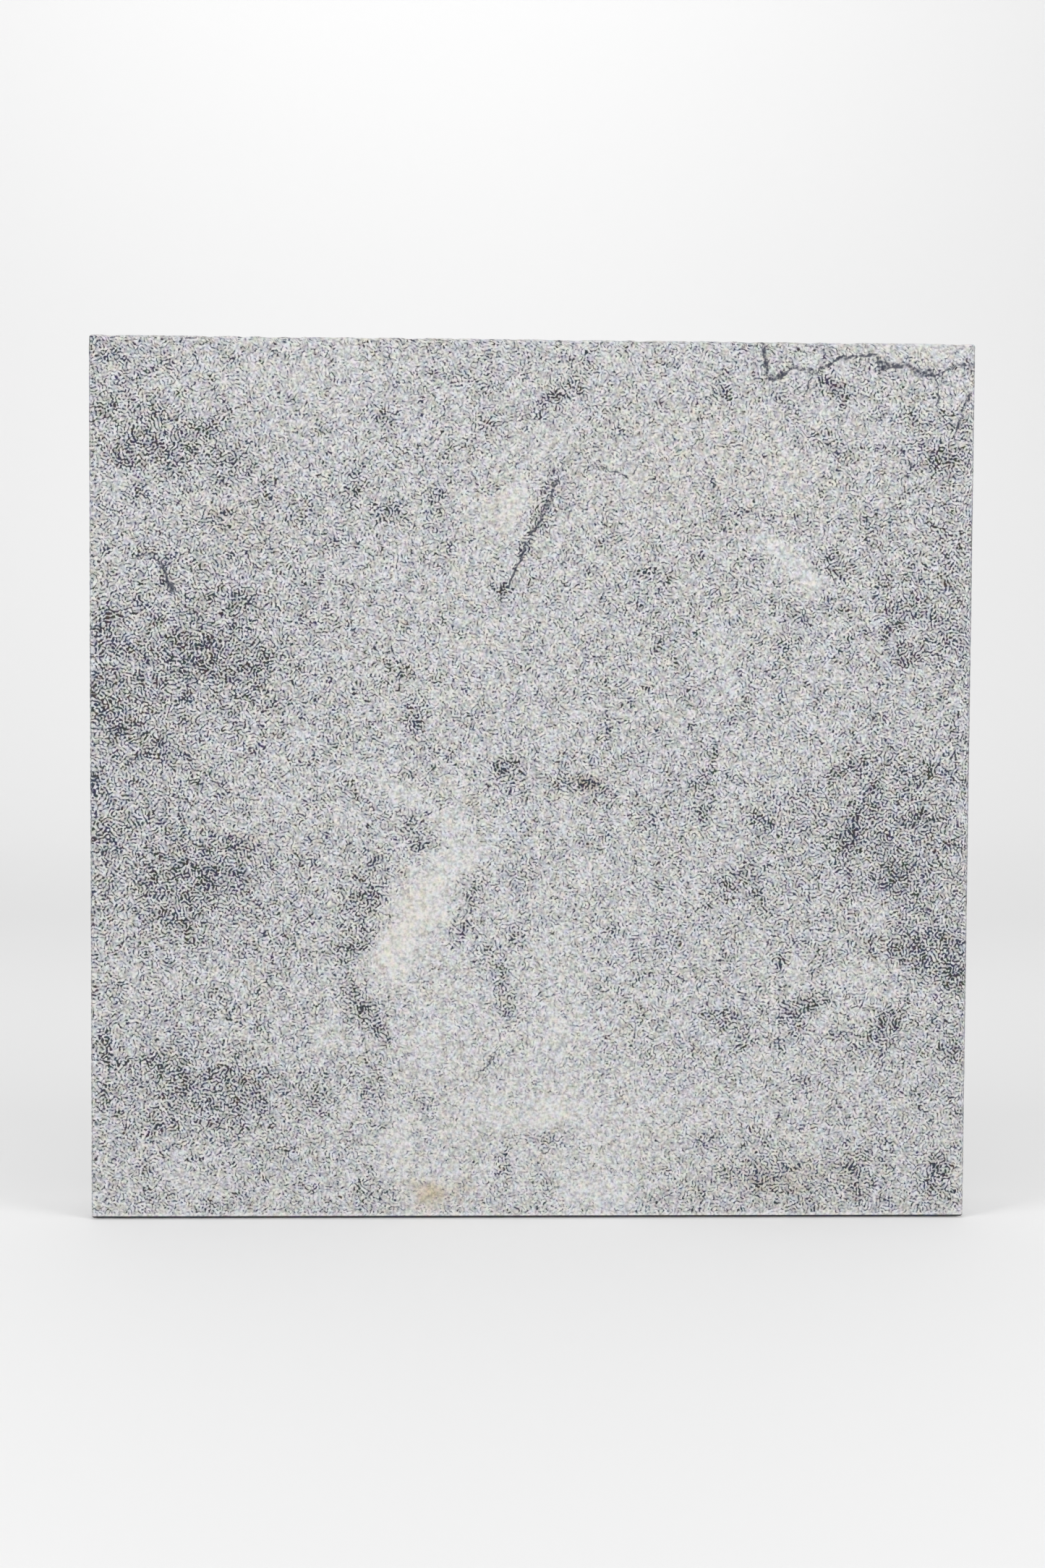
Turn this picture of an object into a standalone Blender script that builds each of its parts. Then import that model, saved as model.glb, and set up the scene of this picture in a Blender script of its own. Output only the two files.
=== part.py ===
"""Granite bench slab for leatherwork: one sawn block of stone with a flat working face.

Leather is laid on the slab to be stamped, skived or glued. It has no other pieces, so it is one
object. The slab stands on its bottom edge: X is the width, Y the thickness and Z the height. The
working face looks along -Y, and the origin is the middle of the bottom edge. Metres throughout.
"""

import bmesh
import bpy
from mathutils import Matrix, Vector

# Overall size of the block, to its flat faces.
WIDTH = 0.305
THICKNESS = 0.032
HEIGHT = 0.305

# Every edge of the block is eased to a small round, so that it can't cut the leather or chip.
WORK_ARRIS_RADIUS = 0.0015
BACK_ARRIS_RADIUS = 0.0010
CORNER_RADIUS = 0.0012
ROUND_SEGMENTS = 4

# Pale grey granite, honed to a dull sheen.
STONE_COLOUR = (0.47, 0.48, 0.50, 1.0)
STONE_ROUGHNESS = 0.55
STONE_METALLIC = 0.0
STONE_IOR = 1.54


def clear_scene():
    """Removes every object that the file starts with."""
    for obj in list(bpy.data.objects):
        bpy.data.objects.remove(obj, do_unlink=True)


def granite():
    """The stone's material: honed granite, a dull dielectric."""
    material = bpy.data.materials.new("honed_granite")
    material.use_nodes = True
    shader = material.node_tree.nodes["Principled BSDF"]
    shader.inputs["Base Color"].default_value = STONE_COLOUR
    shader.inputs["Roughness"].default_value = STONE_ROUGHNESS
    shader.inputs["Metallic"].default_value = STONE_METALLIC
    shader.inputs["IOR"].default_value = STONE_IOR
    return material


def edge_radius(edge):
    """The round that an edge of the sharp block gets, by the faces that it lies between."""
    ends_y = [vert.co.y for vert in edge.verts]
    if max(ends_y) < 0:
        return WORK_ARRIS_RADIUS
    if min(ends_y) > 0:
        return BACK_ARRIS_RADIUS
    return CORNER_RADIUS


def sharp_block(name):
    """A mesh of the block before its edges are eased, with each edge's round as its bevel weight."""
    shell = bmesh.new()
    size = Matrix.Diagonal(Vector((WIDTH, THICKNESS, HEIGHT, 1.0)))
    stand = Matrix.Translation(Vector((0.0, 0.0, HEIGHT / 2)))
    bmesh.ops.create_cube(shell, size=1.0, matrix=stand @ size)
    weight = shell.edges.layers.float.new("bevel_weight_edge")
    for edge in shell.edges:
        edge[weight] = edge_radius(edge) / largest_round()
    mesh = bpy.data.meshes.new(name)
    shell.to_mesh(mesh)
    shell.free()
    return mesh


def largest_round():
    """The widest of the rounds, which a bevel weight of 1 stands for."""
    return max(WORK_ARRIS_RADIUS, BACK_ARRIS_RADIUS, CORNER_RADIUS)


def granite_slab():
    """The slab: the sharp block with its twelve edges rounded, each to its own radius."""
    slab = bpy.data.objects.new("granite_slab", sharp_block("granite_slab"))
    bpy.context.scene.collection.objects.link(slab)
    slab.data.materials.append(granite())
    rounds = slab.modifiers.new("eased_edges", "BEVEL")
    rounds.limit_method = "WEIGHT"
    rounds.offset_type = "OFFSET"
    rounds.width = largest_round()
    rounds.segments = ROUND_SEGMENTS
    rounds.harden_normals = True
    slab.data.shade_smooth()
    return slab


clear_scene()
granite_slab()
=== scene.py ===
"""Granite bench slab for leatherwork, with its stone dressed for a product picture.

The slab is one sawn block of pale grey granite. Its working face is honed, its other faces are left
from the saw, and its edges are eased by hand. It stands on its bottom edge on a white sweep.

Lengths are metres unless a name ends in _mm. X is the width, Y runs from the working face to the back
and Z is the height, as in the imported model, whose box gives every size here.
"""

import logging
import math
from collections.abc import Callable
from dataclasses import dataclass
from enum import Enum
from functools import partial

import bpy
import numpy as np
from mathutils import Matrix, Vector, noise


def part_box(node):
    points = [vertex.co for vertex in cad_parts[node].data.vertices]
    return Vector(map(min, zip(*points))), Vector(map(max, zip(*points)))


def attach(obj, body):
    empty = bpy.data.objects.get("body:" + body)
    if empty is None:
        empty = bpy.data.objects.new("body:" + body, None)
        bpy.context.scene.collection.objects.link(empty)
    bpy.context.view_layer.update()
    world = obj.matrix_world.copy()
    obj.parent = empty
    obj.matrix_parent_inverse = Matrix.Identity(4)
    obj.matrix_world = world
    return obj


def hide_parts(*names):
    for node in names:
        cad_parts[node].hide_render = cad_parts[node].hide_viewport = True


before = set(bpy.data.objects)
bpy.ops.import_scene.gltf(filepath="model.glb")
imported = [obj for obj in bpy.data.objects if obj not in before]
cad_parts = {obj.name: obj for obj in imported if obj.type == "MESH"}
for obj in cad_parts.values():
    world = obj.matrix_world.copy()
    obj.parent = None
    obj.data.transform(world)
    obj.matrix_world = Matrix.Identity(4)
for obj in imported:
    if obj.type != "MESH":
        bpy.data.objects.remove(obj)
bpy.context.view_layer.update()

LOG = logging.getLogger("granite_slab")
MM = 0.001
FISSURE_DISTANCE = "fissure_distance"
FISSURE_WIDTH = "fissure_width"

Node = bpy.types.Node
Socket = bpy.types.NodeSocket
Triple = tuple[float, float, float]
Colour = tuple[float, float, float, float]
Source = Node | Socket | float | tuple
# add_node for one tree: it takes the kind, the inputs and the settings.
Adder = Callable[..., Node]


def srgb(code: str) -> Colour:
    """Turns an sRGB hex colour into Blender's linear colour.

    Args:
        code: The colour as six hex digits after a hash sign.

    Returns:
        Linear red, green, blue and an alpha of 1.
    """
    parts = [int(code[place:place + 2], 16) / 255 for place in (1, 3, 5)]
    linear = [part / 12.92 if part <= 0.04045 else ((part + 0.055) / 1.055) ** 2.4 for part in parts]
    return (linear[0], linear[1], linear[2], 1.0)


class Kind(Enum):
    """The kinds of node that come up again and again, by Blender's own names."""

    MATH = "ShaderNodeMath"
    VECTOR = "ShaderNodeVectorMath"
    RANGE = "ShaderNodeMapRange"
    NOISE = "ShaderNodeTexNoise"
    MIX = "ShaderNodeMix"
    SPLIT = "ShaderNodeSeparateXYZ"
    JOIN = "ShaderNodeCombineXYZ"
    GABOR = "ShaderNodeTexGabor"
    WAVES = "ShaderNodeTexWave"
    BUMP = "ShaderNodeBump"
    COLOURS = "ShaderNodeValToRGB"
    ATTRIBUTE = "ShaderNodeAttribute"
    COORDINATES = "ShaderNodeTexCoord"
    GROUP_INPUT = "NodeGroupInput"
    GROUP_OUTPUT = "NodeGroupOutput"
    CUBE = "GeometryNodeMeshCube"
    POSITION = "GeometryNodeInputPosition"
    NORMAL = "GeometryNodeInputNormal"
    SET_POSITION = "GeometryNodeSetPosition"
    SET_SMOOTH = "GeometryNodeSetShadeSmooth"
    SET_MATERIAL = "GeometryNodeSetMaterial"
    REALIZE = "GeometryNodeRealizeInstances"


def add_node(tree: bpy.types.NodeTree, kind: Kind, inputs: tuple | dict = (), **settings: str | bool) -> Node:
    """Adds one node to a shader or geometry tree, with its settings and links.

    Args:
        tree: The tree that gets the node.
        kind: The node's kind.
        inputs: What goes into it, in order or by name: a fixed value, a socket, or a node, which
            stands for its first output.
        **settings: The node's own properties.

    Returns:
        The new node.
    """
    node = tree.nodes.new(kind.value)
    for name, value in settings.items():
        setattr(node, name, value)
    sources = inputs if isinstance(inputs, dict) else dict(enumerate(inputs))
    for name, source in sources.items():
        socket = source.outputs[0] if isinstance(source, Node) else source
        if isinstance(socket, Socket):
            tree.links.new(socket, node.inputs[name])
        else:
            node.inputs[name].default_value = socket
    return node


@dataclass(frozen=True)
class Step:
    """A soft step of a value: start up to low, end from high on, and a smooth rise or fall between."""

    low: float
    high: float
    start: float = 0.0
    end: float = 1.0

    def of(self, add: Adder, value: Source) -> Node:
        """Adds the step of this value."""
        ends = (self.low, self.high, self.start, self.end)
        return add(Kind.RANGE, (value, *ends), interpolation_type="SMOOTHSTEP")


@dataclass(frozen=True)
class Speckle:
    """A noise whose cells are size wide. Each layer number gives an unlike pattern."""

    size: float
    layer: int
    detail: float = 0.0
    layer_shift: Triple = (0.37, 0.21, 0.11)

    def of(self, add: Adder, spot: Source) -> Node:
        """Adds the noise at this point.

        Args:
            add: Adds a node to the tree.
            spot: The point, in metres.

        Returns:
            The noise, from 0 to 1.
        """
        shift = tuple(self.layer * part for part in self.layer_shift)
        shifted = add(Kind.VECTOR, (spot, shift), operation="ADD")
        return add(Kind.NOISE, {"Vector": shifted, "Scale": 1 / self.size, "Detail": self.detail})

    def swing(self, add: Adder, spot: Source) -> Node:
        """Adds the noise at this point, with its middle at 0."""
        return add(Kind.MATH, (self.of(add, spot), 0.5), operation="SUBTRACT")

    def push(self, add: Adder, spot: Source) -> Node:
        """Adds three unlike noises at this point as one vector, each with its middle at 0."""
        return add(Kind.VECTOR, (self.of(add, spot).outputs["Color"], (0.5, 0.5, 0.5)), operation="SUBTRACT")


def vertex_places(mesh: bpy.types.Mesh) -> np.ndarray:
    """Reads where a mesh's points are.

    Args:
        mesh: The mesh.

    Returns:
        One row of x, y and z for each point, in metres.
    """
    spots = np.empty(len(mesh.vertices) * 3, np.float32)
    mesh.vertices.foreach_get("co", spots)
    return spots.reshape(-1, 3)


# ---------------------------------------------------------------------------------------------------
# What the stone holds: clouds of mica and feldspar, iron stains and healed fissures, placed on the
# working face. x is from the slab's middle and z from its foot, all in mm, and tilt is in degrees.
# ---------------------------------------------------------------------------------------------------

# A cloud's strength falls to exp(-CLOUD_FALLOFF) of its middle at its rim.
CLOUD_FALLOFF = 1.6
# Further than any point of the slab is from any fissure.
FAR_MM = 1e6


class Mineral(Enum):
    """What gathers in a cloud, by the name of the mesh attribute that carries it."""

    MICA = "mica"
    FELDSPAR = "feldspar"
    IRON = "iron"


@dataclass(frozen=True)
class Cloud:
    """A soft patch of the stone where one mineral is denser."""

    x: float
    z: float
    length: float
    width: float
    tilt: float
    strength: float

    def weight(self, x: np.ndarray, z: np.ndarray) -> np.ndarray:
        """How much of the cloud lies at each point.

        Args:
            x: Distances across from the slab's middle, in mm.
            z: Heights above the slab's foot, in mm.

        Returns:
            The cloud's strength in its middle, falling softly to nothing.
        """
        turn = math.radians(self.tilt)
        along = (x - self.x) * math.cos(turn) + (z - self.z) * math.sin(turn)
        across = (z - self.z) * math.cos(turn) - (x - self.x) * math.sin(turn)
        from_middle = (2 * along / self.length) ** 2 + (2 * across / self.width) ** 2
        return self.strength * np.exp(-CLOUD_FALLOFF * from_middle)


MICA_CLOUDS = (
    # broad shade along both sides
    Cloud(-142, 150, 80, 130, 0, 0.22), Cloud(-135, 50, 90, 60, 0, 0.12),
    Cloud(150, 235, 36, 120, 0, 0.22), Cloud(146, 100, 50, 130, 0, 0.2),
    Cloud(-120, 225, 90, 60, 0, 0.12), Cloud(95, 130, 70, 60, 0, 0.12),
    Cloud(-135, 285, 50, 40, 0, 0.15), Cloud(140, 275, 36, 40, 0, 0.15),
    # upper left
    Cloud(-122, 266, 60, 30, 0, 0.25), Cloud(-147, 279, 12, 10, 0, 0.7),
    Cloud(-131, 270, 20, 6, -10, 0.7), Cloud(-113, 272, 14, 7, 5, 0.45), Cloud(-140, 263, 8, 7, 0, 0.5),
    Cloud(-101, 263, 12, 9, -50, 0.45), Cloud(-146, 299, 14, 12, 0, 0.4),
    Cloud(-50, 279, 5, 12, 0, 0.4), Cloud(-61, 256, 8, 10, 30, 0.45), Cloud(-50, 246, 14, 9, 0, 0.5),
    Cloud(-34, 252, 9, 6, 0, 0.4), Cloud(-17, 276, 6, 9, 0, 0.4), Cloud(-18, 292, 12, 9, 0, 0.25),
    Cloud(-69, 235, 10, 6, 40, 0.35), Cloud(-133, 229, 12, 4, -15, 0.4),
    Cloud(-126, 220, 9, 5, -70, 0.2), Cloud(-112, 240, 28, 5, 20, 0.3),
    Cloud(-85, 247, 40, 12, 0, 0.15),
    # middle left
    Cloud(-115, 193, 95, 55, 0, 0.22), Cloud(-147, 204, 18, 9, 90, 1.0),
    Cloud(-135, 197, 8, 10, 0, 0.6), Cloud(-147, 179, 18, 9, 100, 0.9),
    Cloud(-141, 169, 18, 8, 20, 0.6), Cloud(-117, 195, 34, 13, 25, 0.5),
    Cloud(-100, 190, 14, 11, 0, 0.7), Cloud(-91, 197, 10, 9, 0, 0.5), Cloud(-100, 215, 26, 8, 5, 0.35),
    Cloud(-93, 178, 16, 6, 0, 0.35), Cloud(-102, 169, 10, 7, 40, 0.4), Cloud(-125, 164, 14, 12, 0, 0.3),
    Cloud(-46, 189, 8, 8, 0, 0.4), Cloud(-41, 176, 9, 13, 20, 0.35), Cloud(-34, 188, 6, 7, 0, 0.3),
    Cloud(-66, 166, 7, 10, 0, 0.3), Cloud(-68, 150, 10, 7, 0, 0.3), Cloud(-148, 150, 8, 10, 0, 0.5),
    Cloud(-148, 133, 7, 9, 0, 0.6), Cloud(-126, 147, 10, 10, 0, 0.3),
    # lower left
    Cloud(-115, 118, 75, 38, 0, 0.3), Cloud(-100, 131, 8, 8, 0, 0.6), Cloud(-113, 126, 22, 6, 0, 0.4),
    Cloud(-111, 117, 22, 9, 38, 0.7), Cloud(-131, 118, 7, 12, 0, 0.5), Cloud(-123, 104, 10, 8, 0, 0.6),
    Cloud(-97, 105, 8, 6, 0, 0.4), Cloud(-57, 113, 24, 13, 65, 0.5), Cloud(-62, 96, 10, 9, 0, 0.7),
    Cloud(-55, 71, 28, 10, -52, 0.65), Cloud(-54, 50, 12, 20, 0, 0.25),
    Cloud(-100, 95, 90, 20, 0, 0.12), Cloud(-109, 43, 55, 26, -8, 0.35),
    Cloud(-126, 55, 12, 6, -20, 0.4), Cloud(-148, 60, 8, 9, 0, 0.4), Cloud(-108, 52, 60, 5, -3, 0.3),
    Cloud(-98, 46, 11, 9, 0, 0.6), Cloud(-146, 45, 12, 9, 0, 0.4), Cloud(-128, 34, 16, 8, 30, 0.5),
    Cloud(-74, 42, 14, 7, -15, 0.45), Cloud(-82, 24, 8, 7, 0, 0.4), Cloud(-133, 8, 16, 6, 0, 0.3),
    Cloud(-57, 11, 10, 20, 0, 0.2), Cloud(-112, 6, 14, 6, 0, 0.3),
    # middle
    Cloud(8, 286, 15, 7, 30, 0.6), Cloud(1, 278, 8, 8, 0, 0.45), Cloud(22, 294, 14, 8, -20, 0.25),
    Cloud(7, 257, 11, 5, 75, 0.55), Cloud(4, 247, 14, 6, 68, 0.75), Cloud(-3, 234, 20, 4.5, 72, 0.65),
    Cloud(-9, 219, 9, 6, 50, 0.6), Cloud(-10, 156, 11, 8, 60, 0.65), Cloud(16, 152, 24, 7, -5, 0.6),
    Cloud(20, 153, 8, 6, 0, 0.4), Cloud(38, 141, 26, 14, 0, 0.2), Cloud(25, 187, 7, 7, 0, 0.25),
    Cloud(-4, 193, 8, 8, 0, 0.25), Cloud(43, 225, 14, 18, 0, 0.25), Cloud(-38, 131, 24, 8, -25, 0.3),
    Cloud(-22, 109, 26, 6, 75, 0.4), Cloud(-5, 121, 8, 10, 0, 0.35), Cloud(-5, 98, 8, 8, 0, 0.3),
    Cloud(-12, 86, 22, 8, -78, 0.75), Cloud(-9, 74, 14, 7, -50, 0.55), Cloud(-42, 43, 12, 6, -20, 0.4),
    Cloud(-35, 38, 7, 7, 0, 0.25), Cloud(6, 27, 24, 6, -3, 0.95), Cloud(-9, 19, 8, 18, 0, 0.5),
    Cloud(6, 12, 8, 16, 0, 0.4), Cloud(25, 90, 10, 30, 0, 0.12), Cloud(45, 97, 18, 6, 15, 0.3),
    Cloud(2, 45, 6, 6, 0, 0.3),
    # right
    Cloud(70, 272, 12, 5, 20, 0.25), Cloud(52, 207, 10, 6, 50, 0.3), Cloud(45, 200, 6, 12, 0, 0.4),
    Cloud(88, 200, 14, 8, 0, 0.3), Cloud(72, 178, 6, 14, -20, 0.25), Cloud(62, 160, 6, 16, -15, 0.3),
    Cloud(103, 287, 14, 8, -45, 0.6), Cloud(103, 271, 14, 9, 0, 0.35), Cloud(134, 279, 8, 9, 0, 0.6),
    Cloud(142, 266, 22, 9, -5, 0.6), Cloud(65, 288, 7, 8, 0, 0.35), Cloud(76, 293, 8, 8, 0, 0.35),
    Cloud(118, 241, 14, 10, 60, 0.35), Cloud(105, 228, 13, 8, -40, 0.6), Cloud(119, 221, 7, 7, 0, 0.45),
    Cloud(126, 209, 18, 7, 65, 0.6), Cloud(130, 197, 7, 7, 0, 0.5), Cloud(91, 211, 18, 5, -55, 0.3),
    Cloud(101, 214, 12, 4, 45, 0.35), Cloud(147, 228, 7, 8, 0, 0.35), Cloud(147, 203, 9, 14, 0, 0.3),
    Cloud(128, 215, 50, 60, 0, 0.15), Cloud(99, 180, 7, 12, 0, 0.3), Cloud(121, 175, 12, 5, 40, 0.25),
    Cloud(58, 153, 8, 9, 0, 0.4), Cloud(59, 143, 9, 7, -20, 0.6), Cloud(80, 140, 11, 7, 0, 0.55),
    Cloud(96, 148, 16, 8, 0, 0.4), Cloud(110, 158, 26, 7, 20, 0.4), Cloud(139, 159, 22, 6, 0, 0.5),
    Cloud(148, 169, 7, 12, 0, 0.35), Cloud(128, 137, 55, 60, 0, 0.25),
    Cloud(112, 135, 17, 12, 65, 0.95), Cloud(118, 148, 14, 11, 40, 0.6),
    Cloud(129, 121, 12, 9, 0, 0.65), Cloud(133, 142, 9, 9, 0, 0.45), Cloud(132, 110, 12, 8, 30, 0.45),
    Cloud(76, 122, 10, 8, 0, 0.6), Cloud(66, 112, 14, 18, 0, 0.25), Cloud(108, 111, 9, 7, 0, 0.3),
    Cloud(127, 95, 26, 7, -5, 0.65), Cloud(141, 93, 22, 15, -20, 1.0), Cloud(148, 84, 8, 12, 0, 0.7),
    Cloud(90, 92, 22, 5, 65, 0.3), Cloud(101, 94, 14, 5, -30, 0.25), Cloud(95, 74, 13, 11, 0, 0.95),
    Cloud(67, 71, 12, 8, -35, 0.5), Cloud(73, 62, 10, 6, -30, 0.35), Cloud(124, 67, 18, 10, 60, 0.6),
    Cloud(115, 60, 10, 7, 0, 0.3), Cloud(148, 60, 7, 13, 0, 0.65), Cloud(92, 48, 8, 6, 0, 0.25),
    Cloud(82, 17, 24, 14, 20, 0.35), Cloud(116, 19, 14, 14, 0, 0.35), Cloud(143, 15, 16, 20, 0, 0.45),
    Cloud(60, 27, 10, 7, 40, 0.25), Cloud(105, 10, 90, 16, 0, 0.15),
)

FELDSPAR_CLOUDS = (
    Cloud(-8, 34, 105, 84, 0, 0.30), Cloud(-30, 84, 36, 44, 20, 0.25), Cloud(-22, 127, 16, 12, 55, 0.6),
    Cloud(-5, 225, 60, 120, 0, 0.08), Cloud(-37, 112, 52, 20, 58, 1.15),
    Cloud(-47, 94, 26, 15, 62, 0.9), Cloud(-44, 148, 24, 8, -32, 0.6), Cloud(-28, 140, 10, 12, 0, 0.6),
    Cloud(-6, 249, 22, 9, 62, 0.75), Cloud(-14, 242, 20, 20, 0, 0.35), Cloud(32, 258, 10, 12, 0, 0.5),
    Cloud(87, 231, 30, 6, -42, 0.7), Cloud(96, 222, 12, 10, -40, 0.7), Cloud(22, 9, 34, 14, 0, 0.65),
    Cloud(7, 37, 22, 12, 10, 0.65), Cloud(-44, 25, 12, 34, 0, 0.55), Cloud(-32, 18, 14, 12, 0, 0.3),
    Cloud(-36, 9, 16, 9, 20, 0.7), Cloud(136, 301, 34, 8, 0, 0.45), Cloud(-70, 62, 22, 13, 30, 0.35),
    Cloud(-67, 141, 9, 9, 0, 0.35), Cloud(10, 80, 34, 90, -5, 0.25), Cloud(9, 67, 8, 14, 0, 0.35),
    Cloud(121, 106, 10, 12, 0, 0.5), Cloud(117, 86, 34, 9, 10, 0.4), Cloud(97, 178, 8, 18, 0, 0.25),
    Cloud(68, 190, 9, 40, 0, 0.22), Cloud(140, 282, 30, 12, 70, 0.3), Cloud(2, 270, 20, 7, 0, 0.3),
    Cloud(-114, 12, 26, 9, 0, 0.3), Cloud(-38, 62, 40, 26, 0, 0.28), Cloud(30, 30, 50, 40, 0, 0.22),
    Cloud(-80, 291, 70, 20, 0, 0.22), Cloud(88, 258, 34, 14, 20, 0.25), Cloud(-6, 33, 60, 16, 0, 0.2),
    Cloud(93, 83, 9, 12, 0, 0.35), Cloud(40, 268, 90, 50, 0, 0.12), Cloud(60, 40, 60, 20, 0, 0.15),
    Cloud(-115, 85, 40, 10, 0, 0.15),
)

IRON_CLOUDS = (
    Cloud(-36, 9, 17, 10, 20, 1.6), Cloud(-24, 12, 12, 8, 0, 0.5), Cloud(-43, 104, 54, 20, 60, 0.38),
    Cloud(90, 14, 60, 14, 5, 0.45), Cloud(20, 152, 10, 7, -10, 1.1), Cloud(-100, 240, 26, 16, 0, 0.35),
    Cloud(-12, 246, 26, 20, 50, 0.3), Cloud(60, 262, 120, 50, 0, 0.18), Cloud(-10, 40, 90, 50, 0, 0.12),
    Cloud(-98, 132, 16, 10, 0, 0.3),
)

CLOUDS = {Mineral.MICA: MICA_CLOUDS, Mineral.FELDSPAR: FELDSPAR_CLOUDS, Mineral.IRON: IRON_CLOUDS}


@dataclass(frozen=True)
class Fissure:
    """A healed crack that shows as a dark line on the working face.

    points holds (x, z) in mm and width the line's full width in mm at each of them.
    """

    points: tuple[tuple[float, float], ...]
    width: tuple[float, ...]

    def measure(self, x: np.ndarray, z: np.ndarray) -> tuple[np.ndarray, np.ndarray]:
        """Measures each point against the line.

        Args:
            x: Distances across from the slab's middle, in mm.
            z: Heights above the slab's foot, in mm.

        Returns:
            The distance to the line, signed by side so that it crosses zero on it, and the width there.
        """
        nearest = np.full(x.shape, FAR_MM)
        signed = np.full(x.shape, FAR_MM)
        width = np.zeros(x.shape)
        for place in range(len(self.points) - 1):
            (x0, z0), (x1, z1) = self.points[place], self.points[place + 1]
            length = math.hypot(x1 - x0, z1 - z0)
            ux, uz = (x1 - x0) / length, (z1 - z0) / length
            along = (x - x0) * ux + (z - z0) * uz
            across = (z - z0) * ux - (x - x0) * uz
            beyond = along - np.clip(along, 0, length)
            distance = np.hypot(beyond, across)
            closer = distance < nearest
            nearest = np.where(closer, distance, nearest)
            signed = np.where(closer, np.copysign(distance, across), signed)
            share = np.clip(along / length, 0, 1)
            local = self.width[place] * (1 - share) + self.width[place + 1] * share
            width = np.where(closer, local, width)
        return signed, width


FISSURES = (
    Fissure(((79, 304), (80, 294), (82, 291.5), (89, 296), (96, 295), (109, 300.5), (118, 300.5)),
            (0.6, 1.0, 1.3, 0.8, 0.9, 0.8, 1.1)),
    Fissure(((118, 300.5), (119.5, 297), (128, 297.5), (133, 295), (138, 294.5)), (1.0, 1.7, 1.0, 2.1, 1.6)),
    Fissure(((138, 294.5), (139.5, 289), (139.5, 283)), (0.5, 0.5, 0.3)),
    Fissure(((96, 295), (94, 289), (92.5, 285)), (0.5, 0.4, 0.2)),
    Fissure(((151, 288), (148, 281), (145.5, 272)), (0.6, 0.7, 0.4)),
    Fissure(((-138, 229), (-132, 230.5), (-127, 226), (-124.5, 218.5)), (0.4, 0.7, 0.8, 1.2)),
    Fissure(((139, 294.5), (145, 297), (152, 298)), (0.6, 0.6, 0.8)),
    Fissure(((9, 260), (4, 247), (-2, 236), (-6, 226), (-10, 218)), (0.3, 0.9, 0.5, 0.7, 0.4)),
    Fissure(((20, 262), (27, 260), (33, 258), (36, 262)), (0.2, 0.4, 0.4, 0.2)),
    Fissure(((-18, 50), (-14, 56), (-11, 60)), (0.3, 0.4, 0.2)),
)


@dataclass(frozen=True)
class StonePattern:
    """Writes what the stone holds onto a mesh, as one value at each point for each mineral."""

    face_y: float
    depth: float
    dip_mm: tuple[float, float] = (9.0, 5.0)
    far_share: float = 0.55
    fissure_fade: float = 0.5
    fullest: float = 0.8
    gain: float = 1.65
    ragged_mm: float = 3.5
    ragged_size: float = 14 * MM
    fine_ragged_mm: float = 2.4
    fine_ragged_size: float = 5 * MM
    seed: int = 38

    def write(self, mesh: bpy.types.Mesh) -> None:
        """Adds the mineral and fissure attributes to a mesh.

        Args:
            mesh: The slab's mesh, in its final place.
        """
        spots = vertex_places(mesh).astype(np.float64)
        into = np.clip((spots[:, 1] - self.face_y) / self.depth, 0, 1)
        # The beds of the stone dip as they go in, so the pattern shifts from the face to the back.
        x = spots[:, 0] / MM + self.dip_mm[0] * into
        z = spots[:, 2] / MM + self.dip_mm[1] * into
        sway = self.sway(spots)
        fade = 1 - (1 - self.far_share) * into
        for mineral, clouds in CLOUDS.items():
            total = sum(cloud.weight(x + sway[:, 0], z + sway[:, 1]) for cloud in clouds)
            if mineral is Mineral.MICA:
                # A patch can hold only so much mica, however many clouds meet in it.
                total = self.fullest * np.tanh(self.gain * total)
            self.store(mesh, mineral.value, total * fade)
        distance, width = self.nearest_fissure(x, z)
        self.store(mesh, FISSURE_DISTANCE, distance)
        self.store(mesh, FISSURE_WIDTH, width * (1 - self.fissure_fade * into))

    def nearest_fissure(self, x: np.ndarray, z: np.ndarray) -> tuple[np.ndarray, np.ndarray]:
        """Measures each point against the fissure that is nearest to it.

        Args:
            x: Distances across from the slab's middle, in mm.
            z: Heights above the slab's foot, in mm.

        Returns:
            The signed distance to that fissure's line, and the line's width there.
        """
        distance, width = np.full(x.shape, FAR_MM), np.zeros(x.shape)
        for fissure in FISSURES:
            signed, local = fissure.measure(x, z)
            closer = np.abs(signed) < np.abs(distance)
            distance = np.where(closer, signed, distance)
            width = np.where(closer, local, width)
        return distance, width

    def sway(self, spots: np.ndarray) -> np.ndarray:
        """How far each point's clouds are pushed aside, so that no cloud keeps an even outline.

        Args:
            spots: The points, in metres.

        Returns:
            The push along x and z at each point, in mm.
        """
        # Blender seeds this noise from the clock, so it is seeded here to come out the same each run.
        noise.seed_set(self.seed)
        pushes = np.empty((len(spots), 2))
        for place, spot in enumerate(spots):
            broad = noise.noise_vector(Vector(spot / self.ragged_size))
            fine = noise.noise_vector(Vector(spot / self.fine_ragged_size))
            pushes[place, 0] = self.ragged_mm * broad.x + self.fine_ragged_mm * fine.x
            pushes[place, 1] = self.ragged_mm * broad.z + self.fine_ragged_mm * fine.z
        return pushes

    @staticmethod
    def store(mesh: bpy.types.Mesh, name: str, values: np.ndarray) -> None:
        """Keeps one number for each point of the mesh under this name."""
        layer = mesh.attributes.new(name, "FLOAT", "POINT")
        layer.data.foreach_set("value", values.astype(np.float32))


# ---------------------------------------------------------------------------------------------------
# Finishes
# ---------------------------------------------------------------------------------------------------


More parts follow.
